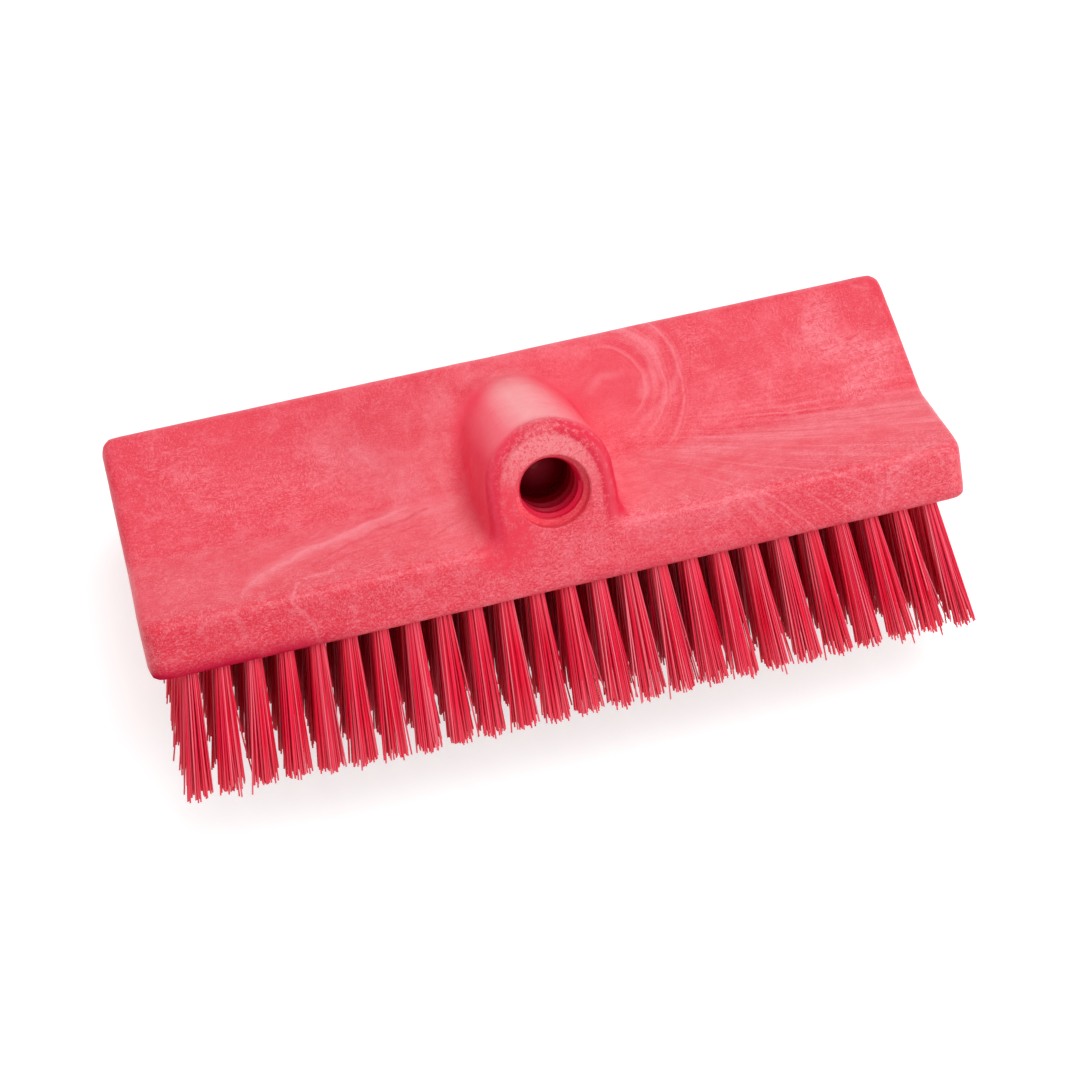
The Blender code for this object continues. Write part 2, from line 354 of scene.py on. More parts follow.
def cornerWaste():
    # what the plan radius takes off the four upright corners
    bm = bmesh.new()
    radius, over = block["cornerRadius"], block["overrun"]
    for face in uprightPlaces():
        for side in (-1, 1):
            end, height = side * head["length"] / 2, 2 * head["thickness"]
            centre = (end - side * radius, radius, -height)
            first = bm.verts.new((centre[0], 0.0, -height))
            arc = bmesh.ops.spin(
                bm, geom=[first], cent=centre, axis=(0.0, 0.0, side), angle=math.pi / 2,
                steps=block["edgeSteps"] * 2, use_duplicate=False,
            )["geom_last"][0]
            outer = [bm.verts.new((x, y, -height)) for x, y in (
                (end + side * over, radius), (end + side * over, -over), (centre[0], -over))]
            for pair in zip([arc] + outer, outer + [first]):
                bm.edges.new(pair)
            loose = [edge for edge in bm.edges if not edge.link_faces]
            flat = bmesh.ops.contextual_create(bm, geom=loose)["faces"]
            drawOut(bm, flat, (0.0, 0.0, height * 2))
            done = [vert for vert in bm.verts if not vert.tag]
            bmesh.ops.transform(bm, matrix=face, verts=done)
            for vert in done:
                vert.tag = True
    return fromBmesh("waste", bm)


def cornerPoints():
    # points up the middle of each upright corner
    points = []
    inset = block["cornerRadius"] * (1 - math.sqrt(0.5))
    span = block["cornerSpan"]
    for face in uprightPlaces():
        for side in (-1, 1):
            x = side * (head["length"] / 2 - inset)
            for step in range(-span, span + 1):
                points.append(face @ Vector((x, inset, step * block["pointGap"])))
    return points


def footPoints(obj):
    # points along the inner corner where the boss leaves the wings
    crease = -math.radians(block["creaseAngle"])
    bm = bmesh.new()
    bm.from_mesh(obj.data)
    points = []
    for edge in bm.edges:
        if len(edge.link_faces) != 2 or edge.calc_face_angle_signed() > crease:
            continue
        a, b = edge.verts[0].co, edge.verts[1].co
        if max(abs(a.x), abs(b.x)) > block["bossRadius"] * block["creaseReach"]:
            continue
        steps = max(1, round((b - a).length / block["pointGap"]))
        points += [a.lerp(b, step / steps) for step in range(steps + 1)]
    bm.free()
    return points


def soften(obj, name, points, reach, passes):
    # weight falls off from the points, so smoothing stays near them
    tree = KDTree(len(points))
    for index, point in enumerate(points):
        tree.insert(point, index)
    tree.balance()
    group = obj.vertex_groups.new(name=name)
    for vertex in obj.data.vertices:
        gap = tree.find(vertex.co)[2] / reach
        if gap < 1:
            group.add([vertex.index], (1 - gap * gap) ** 2, "REPLACE")
    step = obj.modifiers.new(name, "SMOOTH")
    step.factor, step.iterations, step.vertex_group = 0.5, passes, name


def boreCore():
    # stepped core: chamfered mouth, ledge, then a lead-in that narrows to the thread's crest
    bm = bmesh.new()
    mouth, depth, crest = block["mouthRadius"], block["mouthDepth"], block["crestRadius"]
    chamfer, over = block["mouthChamfer"], block["overrun"]
    lead = depth + chamfer * block["leadChamfers"]
    profile = (
        (0.0, -over), (mouth + chamfer + over, -over), (mouth, chamfer), (mouth, depth),
        (block["leadRadius"], depth + chamfer), (crest, lead),
        (crest, block["boreDepth"]), (0.0, block["boreDepth"] + over),
    )
    verts = [bm.verts.new((radius, y, block["boreHeight"])) for radius, y in profile]
    edges = [bm.edges.new(pair) for pair in zip(verts, verts[1:])]
    bmesh.ops.spin(
        bm, geom=verts + edges, cent=(0.0, 0.0, block["boreHeight"]), axis=(0.0, 1.0, 0.0),
        angle=math.tau, steps=block["boreSteps"], use_merge=True, use_duplicate=False,
    )
    bmesh.ops.remove_doubles(bm, verts=bm.verts[:], dist=block["merge"])
    return fromBmesh("core", bm)


thread = {
    "pitch": 0.00508,
    "turns": 5,
    "footWidth": 0.0038,
    "rootWidth": 0.0020,
    "overlap": 0.0006,
    "steps": 56,
}


def threadGroove():
    # one trapezium swept down the bore as a helix, cutting the root of the thread
    bm = bmesh.new()
    inner, outer = block["crestRadius"] - thread["overlap"], block["boreRadius"]
    section = (
        (inner, -thread["footWidth"] / 2), (outer, -thread["rootWidth"] / 2),
        (outer, thread["rootWidth"] / 2), (inner, thread["footWidth"] / 2),
    )
    start = block["mouthDepth"] + thread["footWidth"] / 4
    verts = [bm.verts.new((r, start + y, block["boreHeight"])) for r, y in section]
    face = bm.faces.new(verts)
    steps = thread["steps"] * thread["turns"]
    bmesh.ops.spin(
        bm, geom=[face], cent=(0.0, 0.0, block["boreHeight"]), axis=(0.0, 1.0, 0.0),
        dvec=(0.0, thread["pitch"] / thread["steps"], 0.0),
        angle=math.tau * thread["turns"], steps=steps, use_duplicate=False,
    )
    return fromBmesh("groove", bm)


# Places of the tufts
rows = {
    "pitch": 0.009525,
    "leastRowPitch": 0.0080,
    "endMargin": 0.0110,
    "lipMargin": 0.0047,
    "foldMargin": 0.0048,
    "backMargin": 0.0060,
    "firstLean": -2.0,
    "lastLean": 50.0,
    "sideFan": 0.05,
    "holeRadius": 0.00255,
    "holeDepth": 0.0105,
    "holeSides": 14,
}


def rowPlaces():
    places = []
    for start, stop, tilt, first, last in (
        (lipFoot, keel, frontTilt, rows["lipMargin"], rows["foldMargin"]),
        (keel, backFoot, rearTilt, rows["foldMargin"], rows["backMargin"]),
    ):
        span = (stop - start).length - first - last
        gaps = int(span / rows["leastRowPitch"])
        for index in range(gaps + 1):
            places.append((start + along(tilt) * (first + span * index / gaps), tilt))
    return places


def tuftStations():
    gaps = int((head["length"] - 2 * rows["endMargin"]) / rows["pitch"])
    return [(index - gaps / 2) * rows["pitch"] for index in range(gaps + 1)]


def rowSpace(position, tilt):
    return Matrix.Translation((0.0, position.x, position.y)) @ Matrix.Rotation(tilt, 4, "X")


def rowLean(index, tilt):
    share = index / (len(rowPlaces()) - 1)
    return math.radians(rows["firstLean"] + (rows["lastLean"] - rows["firstLean"]) * share) - tilt


def tuftHoles():
    # one drilled hole a tuft, along the tuft's own direction
    bm = bmesh.new()
    for index, (position, tilt) in enumerate(rowPlaces()):
        slope = math.tan(rowLean(index, tilt))
        for x in tuftStations():
            out = Vector((x * rows["sideFan"] / head["trim"], slope, -1.0)).normalized()
            turn = Vector((0.0, 0.0, 1.0)).rotation_difference(out).to_matrix().to_4x4()
            depth = rows["holeDepth"] + block["overrun"]
            centre = Vector((x, 0.0, 0.0)) - out * (rows["holeDepth"] - block["overrun"]) / 2
            bmesh.ops.create_cone(
                bm, cap_ends=True, segments=rows["holeSides"], depth=depth,
                radius1=rows["holeRadius"], radius2=rows["holeRadius"],
                matrix=rowSpace(position, tilt) @ Matrix.Translation(centre) @ turn,
            )
    return fromBmesh("holes", bm)


# Colours and figure of the foamed plastic: a warp has its scale and reach, a noise its
# scale, detail, roughness and distortion
foam = {
    "deep": (0.77, 0.011, 0.039),
    "dark": (0.83, 0.032, 0.068),
    "middle": (0.88, 0.061, 0.097),
    "light": (0.91, 0.098, 0.140),
    "pale": (0.97, 0.260, 0.310),
    # painted shade on the sides of the boss
    "flank": (1.00, 0.034, 0.092),
    # painted highlight on the crown of the boss's face and along its crest
    "near": (0.88, 0.030, 0.068),
    # painted shade on the near, lower side of the boss's face; also a tone at the bore's mouth
    "crownHighlight": (1.00, 0.310, 0.330),
    # rough deep band round the boss's rim, painted shade on its far side and in the crease at the
    # boss's foot; also at the bore's mouth
    "deepBandAndShade": (0.76, 0.008, 0.046),
    # painted shade along the foot of the lip
    "footShade": (0.60, 0.010, 0.050),
    # painted shade in the bore, deepest at its end
    "bore": (0.84, 0.005, 0.060),
    "boreEndShade": (0.27, 0.000, 0.005),
    "poured": (24.0, 0.0300),
    "gentle": (16.0, 0.0080),
    "curled": (100.0, 0.0045),
    "swirlWarp": (60.0, 0.0040),
    "drift": (34.0, 5.0, 0.62, 0.6),
    "ragged": (130.0, 4.0, 0.65, 0.8),
    "fibre": (1.0, 4.0, 0.7, 0.5),
    "grit": (1100.0, 3.0, 0.7, 0.8),
    "swirlPlace": (0.030, 0.038, 0.057),
    "swirlShape": (1.0, 0.85, 0.0),
    "swirlFacing": (0.95, 0.20, 0.0),
    "swirlReach": 0.030,
    "swirlRings": 460.0,
    "fanPlace": (0.012, 0.024, 0.050),
    "fanNeck": 0.012,
    "fanAlong": 11.0,
    "fanSpread": 48.0,
    "brushedScale": (150.0, 620.0, 620.0),
    "acrossScale": (300.0, 14.0, 1.0),
    "fibreFine": 1900.0,
    "fibreCoarse": 800.0,
    "leftReach": 0.12,
    "leftShare": 0.75,
    "frontShare": 0.20,
    "frontStreaks": 0.42,
    "frontGrain": 0.15,
    "paleShare": 0.48,
    "deepShare": 0.74,
    "calmShare": 0.75,
    "raggedness": 0.90,
    "lipShare": 0.15,
    # painted shade on the lip's left end
    "lipLeftShade": 0.60,
    "lipGrain": 0.95,
    "grain": 0.30,
    "reliefDepth": 0.0003,
    "driftDepth": 0.0012,
}

# a noise, then the stops of its ramp
patterns = {
    "fibreChoice": ((160.0, 2.0, 0.5, 1.0), ((0.40, 0.0), (0.60, 1.0))),
    "broken": ((260.0, 3.0, 0.6), ((0.36, 0.45), (0.56, 1.0))),
    "across": ((1.0, 3.0, 0.5, 0.3), ((0.38, 0.30), (0.50, 0.0))),
    "curl": ((85.0, 3.0, 0.5, 2.4), ((0.47, 0.0), (0.50, 0.16), (0.53, 0.0))),
    "blotch": ((240.0, 5.0, 0.7, 0.6), ((0.40, 1.0), (0.60, 0.35))),
    # patchy edge of the painted shade along the lip's foot
    "footShadeShare": ((60.0, 3.0, 0.6), ((0.32, 0.42), (0.54, 1.0))),
    "rough": ((800.0, 3.0, 0.7), ((0.38, 0.30), (0.54, 1.0))),
    "gloss": ((300.0, 3.0), ((0.30, 0.32), (0.70, 0.44))),
}

# a noise, then where it turns pale and where deep: starts at, is full at, and how strong
mottles = {
    "fan": ((1.0, 4.0, 0.6, 0.25), (0.52, 0.64, 0.50), (0.47, 0.36, 0.54)),
    "swirl": ((1.0, 3.0, 0.6), (0.48, 0.62, 0.46), (0.49, 0.38, 0.60)),
    "brushed": ((1.0, 5.0, 0.65, 1.4), (0.50, 0.64, 0.50), (0.50, 0.36, 0.60)),
    "cloud": ((170.0, 5.0, 0.68, 0.5), (0.51, 0.70, 0.30), (0.48, 0.30, 0.42)),
    "salt": ((2300.0, 2.0, 0.6), (0.52, 0.66, 0.18), (0.47, 0.34, 0.30)),
}

mm = 0.001

# broad soft strokes seen from above: points (x, y) and reach in millimetres, then strength
washes = {
    "paleWash": (
        (((-27, 8), (-43, 7), (-61, 4), (-77, 0), (-90, -7)), 4, 0.80),
        (((-93, -9), (-112, -4), (-123, 11)), 8, 0.24),
        (((-21, 47), (-27, 28), (-28, 10), (-31, -11)), 6, 0.50),
        (((-24, 49), (1, 55), (30, 55)), 6, 0.40),
        (((104, 47), (97, 37), (117, 28), (107, 18)), 7.5, 0.70),
        (((48, 7), (80, 6), (109, 6), (124, 6)), 6, 0.78),
        (((-58, 36), (-44, 26), (-36, 14)), 12, 0.66),
        (((116, -16), (105, -20), (98, -25)), 4, 0.60),
        (((23, -18), (42, -19), (61, -18)), 5.5, 0.55),
        (((-5, -21), (11, -22)), 6, 0.30),
        (((40, 55), (47, 48), (47, 40), (41, 32)), 3.2, 0.85),
    ),
    "deepWash": (
        (((-94, -20), (-79, -21), (-61, -21), (-49, -20)), 7, 0.85),
        (((-90, -15), (-70, -9), (-48, -9)), 6.5, 1.00),
        (((-119, 44), (-123, 24)), 12, 0.45),
        # painted shade on the lip's left end, deepest along its foot
        (((-124, -19), (-104, -26), (-60, -28), (-30, -29)), 6.8, 1.00),
        (((20, 32), (30, 40), (37, 33)), 9.5, 1.00),
        # painted shade in the crease at the foot of the boss's left flank
        (((-22.5, 24), (-22.5, 8), (-21.5, 0)), 3.6, 0.90),
        (((54, 50), (54, 39), (47, 30), (37, 23)), 3.4, 0.70),
        (((120, 50), (121, 36)), 5, 0.60),
        (((73, 29), (74, 26)), 4, 0.55),
        (((93, 25), (96, 22)), 3.5, 0.50),
        (((27, 19), (37, 2), (54, -4)), 7, 0.55),
        (((90, -17), (118, -22)), 6, 0.45),
        # painted shade along the foot of the lip
        (((-3, -29), (40, -30), (72, -28)), 3.2, 0.85),
    ),
    "grainWash": (
        (((104, 47), (97, 37), (117, 28), (107, 18)), 11, 1.00),
        (((62, 50), (60, 44)), 6, 0.80),
        (((-110, 45), (-90, 25), (-60, 30)), 18, 0.78),
        (((-118, 4), (-100, -12)), 12, 0.75),
        (((-45, 50), (-20, 52)), 8, 0.45),
        (((-80, -12), (-50, -12)), 6, 0.85),
        (((85, -10), (120, -12)), 8, 0.80),
    ),
    "calmWash": (
        (((24, 34), (34, 38)), 15, 1.00),
        (((-84, -1), (-61, 4), (-30, 10)), 6, 0.80),
        (((30, -1), (70, 2), (115, 3)), 9, 0.55),
        (((20, -26), (80, -24)), 6, 0.50),
    ),
}

# thin lines seen from above: tone, points and half width in millimetres, then strength
veins = (
    ("pale", ((-44, 10), (-61, 4), (-75, 0), (-88, -6),
              (-95, -13), (-98, -18), (-97, -22), (-95, -26)), 1.9, 0.55),
    ("pale", ((-40, 11), (-61, 5), (-76, 0), (-89, -6), (-96, -13)), 1, 0.52),
    ("pale", ((-67, -10), (-77, -11), (-81, -18), (-76, -26), (-74, -31)), 0.9, 0.80),
    ("pale", ((47, 58), (54, 50), (55, 40), (49, 30), (33, 18)), 1.7, 0.32),
    ("pale", ((25, 37), (30, 41), (36, 41)), 2.4, 0.30),
    ("pale", ((117, -14), (107, -18), (101, -21), (98, -26)), 0.9, 0.65),
    ("pale", ((115, -14), (119, -20), (117, -25)), 0.8, 0.50),
    ("deep", ((-35, 8), (-49, 4), (-60, 0), (-72, -6)), 1.2, 0.80),
    ("deep", ((-40, 2), (-54, -2), (-68, -8)), 0.7, 0.80),
    ("deep", ((-23, 2), (-36, -6), (-45, -15)), 0.8, 0.65),
    ("deep", ((60, 45), (57, 35), (51, 26), (45, 16)), 0.6, 0.65),
    ("deep", ((102, -14), (99, -27)), 0.6, 0.55),
)


def pattern(tree, place, name):
    settings, stops = patterns[name]
    return ramp(tree, noise(tree, place, *settings), stops)


def mottle(tree, colour, name, place, *shares, tone="deep"):
    # high values of a noise go pale, low ones deep
    settings, high, low = mottles[name]
    field = noise(tree, place, *settings)
    for tint, (start, full, strength) in ((foam["pale"], high), (foam[tone], low)):
        part = ramp(tree, field, sorted([(start, 0.0), (full, strength)]))
        colour = paint(tree, colour, tint, part, *shares)
    return colour


def fibres(tree, place):
    # short curled fibres that lie in two directions, as noise squeezed along each
    fine, coarse = foam["fibreFine"], foam["fibreCoarse"]
    first = stretched(tree, place, (coarse, fine, fine), (0.0, 0.0, 0.25))
    second = stretched(tree, place, (fine, coarse, fine), (0.3, 0.0, 0.3))
    first, second = (noise(tree, field, *foam["fibre"]) for field in (first, second))
    choose = pattern(tree, place, "fibreChoice")
    return newNode(tree, "Mix", {0: choose, 2: first, 3: second}).outputs[0]


def warped(tree, place, scale, amount):
    shift = noise(tree, place, scale, out="Color")
    shift = vector2(tree, "SUBTRACT", shift, (0.5, 0.5, 0.5))
    return vector2(tree, "ADD", place, vector2(tree, "SCALE", shift, amount))


def fanLines(tree, colour, place, front):
    # fine straight lines that spread from the foot of the boss towards the far end
    offset = vector2(tree, "SUBTRACT", place, foam["fanPlace"])
    parts = newNode(tree, "SeparateXYZ", {0: offset}).outputs
    neck = math2(tree, "MAXIMUM", parts["X"], foam["fanNeck"])
    slope = math2(tree, "DIVIDE", parts["Y"], neck)
    fan = newNode(tree, "CombineXYZ", {
        "X": product(tree, parts["X"], foam["fanAlong"]),
        "Y": product(tree, slope, foam["fanSpread"]),
    }).outputs[0]
    reach = ramp(tree, parts["X"], [(0.010, 0.0), (0.045, 1.0)])
    return mottle(tree, colour, "fan", fan, reach, front)


def lineGap(tree, place, start, stop):
    # distance from a straight line between two points, seen from above
    start, stop = (Vector((*point, 0.0)) * mm for point in (start, stop))
    span = stop - start
    away = vector2(tree, "SUBTRACT", place, start)
    share = vector2(tree, "DOT_PRODUCT", away, span / span.length_squared, "Value")
    share = math2(tree, "ADD", share, 0.0, clamp=True)
    return vector2(tree, "DISTANCE", away, vector2(tree, "SCALE", span, share), "Value")


def swirlRings(tree, colour, place):
    # fine soft rings on the far side of the swirl's middle
    offset = vector2(tree, "SUBTRACT", place, foam["swirlPlace"])
    offset = vector2(tree, "MULTIPLY", offset, foam["swirlShape"])
    reach = vector2(tree, "LENGTH", offset, out="Value")
    heading = vector2(tree, "NORMALIZE", offset)
    facing = vector2(tree, "DOT_PRODUCT", heading, foam["swirlFacing"], "Value")
    facing = ramp(tree, facing, [(0.05, 0.0), (0.55, 1.0)])
    share = ramp(tree, math2(tree, "DIVIDE", reach, foam["swirlReach"]), [
        (0.30, 0.0), (0.42, 1.0), (0.80, 1.0), (1.0, 0.0),
    ])
    rings = newNode(tree, "CombineXYZ", {"X": product(tree, reach, foam["swirlRings"])}).outputs[0]
    return mottle(tree, colour, "swirl", rings, share, facing, tone="dark")


def drawVeins(tree, colour, place):
    flat = vector2(tree, "MULTIPLY", place, (1.0, 1.0, 0.0))
    broken = pattern(tree, place, "broken")
    for tone, points, width, strength in veins:
        gap = None
        for start, stop in zip(points, points[1:]):
            here = lineGap(tree, flat, start, stop)
            gap = math2(tree, "MINIMUM", gap, here) if gap else here
        near = newNode(tree, "MapRange", {
            "Value": gap, "From Min": 0.0, "From Max": width * mm,
            "To Min": strength, "To Max": 0.0,
        }, interpolation_type="SMOOTHSTEP").outputs[0]
        colour = paint(tree, colour, foam[tone], near, broken)
    return colour


def foamMaterial(names):
    material, tree, shader = startMaterial("foam_plastic_red")
    place = newNode(tree, "TexCoord").outputs["Object"]
    mark = {
        name: newNode(tree, "Attribute", attribute_name=name).outputs["Fac"]
        for name in names
    }

    # slow drift of colour, warped so that it looks poured
    poured, gentle, curled = (
        warped(tree, place, *foam[key]) for key in ("poured", "gentle", "curled"))
    drift = noise(tree, poured, *foam["drift"])
    colour = ramp(tree, drift, [
        (0.34, foam["dark"]), (0.50, foam["middle"]), (0.66, foam["light"]),
    ])
    parts = newNode(tree, "SeparateXYZ", {0: poured}).outputs
    # darker towards the left end and lighter towards the front
    left = math2(tree, "DIVIDE", parts["X"], -foam["leftReach"], clamp=True)
    left = product(tree, left, left)
    colour = paint(tree, colour, foam["dark"], left, foam["leftShare"])
    front = ramp(tree, parts["Y"], [(0.014, 1.0), (0.040, 0.0)])
    colour = paint(tree, colour, foam["light"], front, foam["frontShare"])

    # broad strokes with ragged edges, then lines that follow the valley
    ragged = noise(tree, curled, *foam["ragged"])
    ragged = product(tree, math2(tree, "SUBTRACT", ragged, 0.5), foam["raggedness"])
    for name, tone, share in (
        ("deepWash", "dark", "deepShare"), ("paleWash", "pale", "paleShare"),
    ):
        wash = math2(tree, "ADD", mark[name], ragged)
        wash = ramp(tree, wash, [(0.16, 0.0), (0.85, 1.0)])
        colour = paint(tree, colour, foam[tone], wash, foam[share])
    colour = fanLines(tree, colour, gentle, front)
    brushed = stretched(tree, gentle, foam["brushedScale"])
    streaky = ramp(tree, mark["grainWash"], [(0.60, 0.0), (0.95, 1.0)])
    streaky = math2(tree, "MAXIMUM", streaky, product(tree, front, foam["frontStreaks"]))
    colour = mottle(tree, colour, "brushed", brushed, streaky)
    across = pattern(tree, stretched(tree, poured, foam["acrossScale"]), "across")
    strip = ramp(tree, parts["X"], [(0.055, 0.0), (0.070, 1.0), (0.095, 0.0)])
    rear = math2(tree, "SUBTRACT", 1.0, front)
    colour = paint(tree, colour, foam["dark"], across, rear, strip)
    colour = swirlRings(tree, colour, warped(tree, place, *foam["swirlWarp"]))
    colour = drawVeins(tree, colour, curled)

    # cloudy mottling a few millimetres across
    calm = product(tree, mark["calmWash"], foam["calmShare"])
    loud = math2(tree, "SUBTRACT", 1.0, calm)
    loud = math2(tree, "ADD", loud, product(tree, front, foam["frontGrain"]))
    # lip face a little darker, and painted shade deeper on the lip's left end
    colour = paint(tree, colour, foam["dark"], mark["lipFace"], foam["lipShare"])
    colour = paint(tree, colour, foam["deep"], mark["lipFace"], left, foam["lipLeftShade"])
    colour = mottle(tree, colour, "cloud", gentle, loud)

    # fibrous grain, strong on the lip and where grainWash says, faint in the valley
    fibre = fibres(tree, place)
    lip = math2(tree, "ADD", mark["lipFace"], ragged)
    lip = ramp(tree, lip, [(0.35, 0.0), (0.75, 1.0)])
    busy = math2(tree, "ADD", mark["grainWash"], ragged, clamp=True)
    busy = math2(tree, "MAXIMUM", busy, product(tree, lip, foam["lipGrain"]))
    for tone, stops, least, most in (
        ("pale", [(0.50, 0.0), (0.68, 1.0)], 0.15, 0.72),
        ("deep", [(0.32, 1.0), (0.50, 0.0)], 0.22, 0.90),
    ):
        share = newNode(tree, "MapRange", {"Value": busy, "To Min": least, "To Max": most})
        colour = paint(
            tree, colour, foam[tone], ramp(tree, fibre, stops), share.outputs[0], loud)

    # curled pale veins on the lip, and a fine salt all over
    colour = paint(tree, colour, foam["pale"], pattern(tree, poured, "curl"), lip)
    colour = mottle(tree, colour, "salt", place, loud)

    # boss: painted highlight on the crown of its face and along its crest, painted shade on the
    # near side of the face, on the flanks and in the crease at its left foot; a rough band round
    # the rim, painted shade on its far side; painted shade along the lip foot
    face = math2(tree, "ADD", mark["faceHighlight"], mark["faceShade"], clamp=True)
    grit = noise(tree, place, *foam["grit"])
    for tone, mask, share in (
        # painted highlights on the crown of the boss's face and along its crest, with pale speckle
        # in the crown
        ("crownHighlight", mark["faceHighlight"], 0.64),
        ("crownHighlight", mark["crestHighlight"], 0.90),
        ("near", face, ramp(tree, grit, [(0.38, 0.85), (0.49, 0.0)])),
        ("pale", mark["faceHighlight"], ramp(tree, grit, [(0.51, 0.0), (0.62, 0.60)])),
        # painted shade on the near side of the boss's face
        ("near", mark["faceShade"], pattern(tree, place, "blotch")),
        # painted shade along the foot of the lip
        ("footShade", mark["lipFoot"], pattern(tree, place, "footShadeShare")),
        # rough band round the rim, deeper on the far side as painted shade
        ("deepBandAndShade", mark["rimBandAndShade"], pattern(tree, place, "rough")),
        # painted shade on the boss's flanks
        ("flank", mark["bossSideShade"], 0.85),
        # painted shade in the crease at the foot of the boss's left flank
        ("deepBandAndShade", mark["bossFoot"], 0.60),
    ):
        colour = paint(tree, colour, foam[tone], mask, share)

    # bore: painted shade, darker towards its end
    bore = mark["boreDepth"]
    depth = ramp(tree, bore, [
        (0.0, foam["deepBandAndShade"]), (0.13, foam["near"]), (0.17, foam["bore"]), (0.90, foam["boreEndShade"]),
    ])
    share = ramp(tree, bore, [(0.01, 0.0), (0.05, 0.45), (0.13, 0.30), (0.18, 1.0)])
    colour = paint(tree, colour, depth, share)
    tree.links.new(colour, shader.inputs["Base Color"])

    tree.links.new(pattern(tree, place, "gloss"), shader.inputs["Roughness"])
    sheen = ramp(tree, bore, [(0.0, 0.42), (0.15, 0.34), (0.20, 0.22), (0.55, 0.10), (0.80, 0.0)])
    matt = math2(tree, "SUBTRACT", 1.0, mark["lipFoot"], clamp=True)
    tree.links.new(product(tree, sheen, matt), shader.inputs["Specular IOR Level"])
    relief = newNode(tree, "Bump", {
        "Height": fibre, "Strength": 0.30, "Distance": foam["reliefDepth"],
    })
    slow = newNode(tree, "Bump", {
        "Height": drift, "Strength": 0.35, "Distance": foam["driftDepth"],
        "Normal": relief.outputs[0],
    })
    tree.links.new(slow.outputs[0], shader.inputs["Normal"])
    return material


# where a mask of the block starts and where it is full
masks = {
    # metres down the bore, above the ridge, out from the boss or along the head
    "lipFace": (0.013, 0.002),
    "faceDown": (0.004, 0.001),
    "nearRise": (-0.0096, -0.0016),
    "crestDown": (0.056, 0.038),
    "rootIn": (0.0, 0.0015),
    "rootOut": (0.007, 0.003),
    "rootStart": (0.0, 0.006),
    "rootEnd": (0.045, 0.025),
    "rootRise": (0.001, 0.005),
    "footAlong": (0.025, 0.045),
    # shares of the boss radius
    "sideAcross": (1.6, 0.6),
    "faceAcross": (1.35, 0.987),
    "crownRise": (-0.25, 0.75),
    "nearAcross": (0.2, 1.2),
    "nearFall": (-0.6, 0.4),
    "crestRise": (0.409, 0.864),
    "crestAcross": (1.14, 1.02),
    # shares of the rim, of a level normal, of the thickness and of a stroke's reach
    "rimAcross": (1.0, 0.583),
    "sideTilt": (0.154, 0.538),
    "footRise": (0.35, 0.0),
    "stroke": (1.25, 0.25),
}

# strengths of the masks; the rim's sizes are shares of it, the foot's middle is in metres
markTones = {
    "rimWidth": 0.75,
    "rimWiden": 0.40,
    "rimLength": 1.2,
    "rimTop": 0.72,
    "rimEnds": 0.38,
    "sideRight": 0.35,
    "near": 2.6,
    "crest": 0.80,
    "crestFall": 0.9,
    "crestLeast": 0.35,
    "footMiddle": -0.035,
    "foot": 0.6,
    "footGain": 8.0,
    "footLeast": 0.25,
    "footMost": 1.6,
}


def strokeShare(places, strokes, base=0.0):
    # strength of the nearest soft stroke at each place, seen from above
    best = np.full(len(places), base)
    for points, reach, strength in strokes:
        points = np.multiply(points, mm)
        for start, stop in zip(points, points[1:]):
            span = stop - start
            share = fade((places - start) @ span, 0.0, span @ span)
            gap = np.hypot(*(places - start - share[:, None] * span).T)
            best = np.maximum(best, strength * fade(gap / (reach * mm), *masks["stroke"]))
    return best


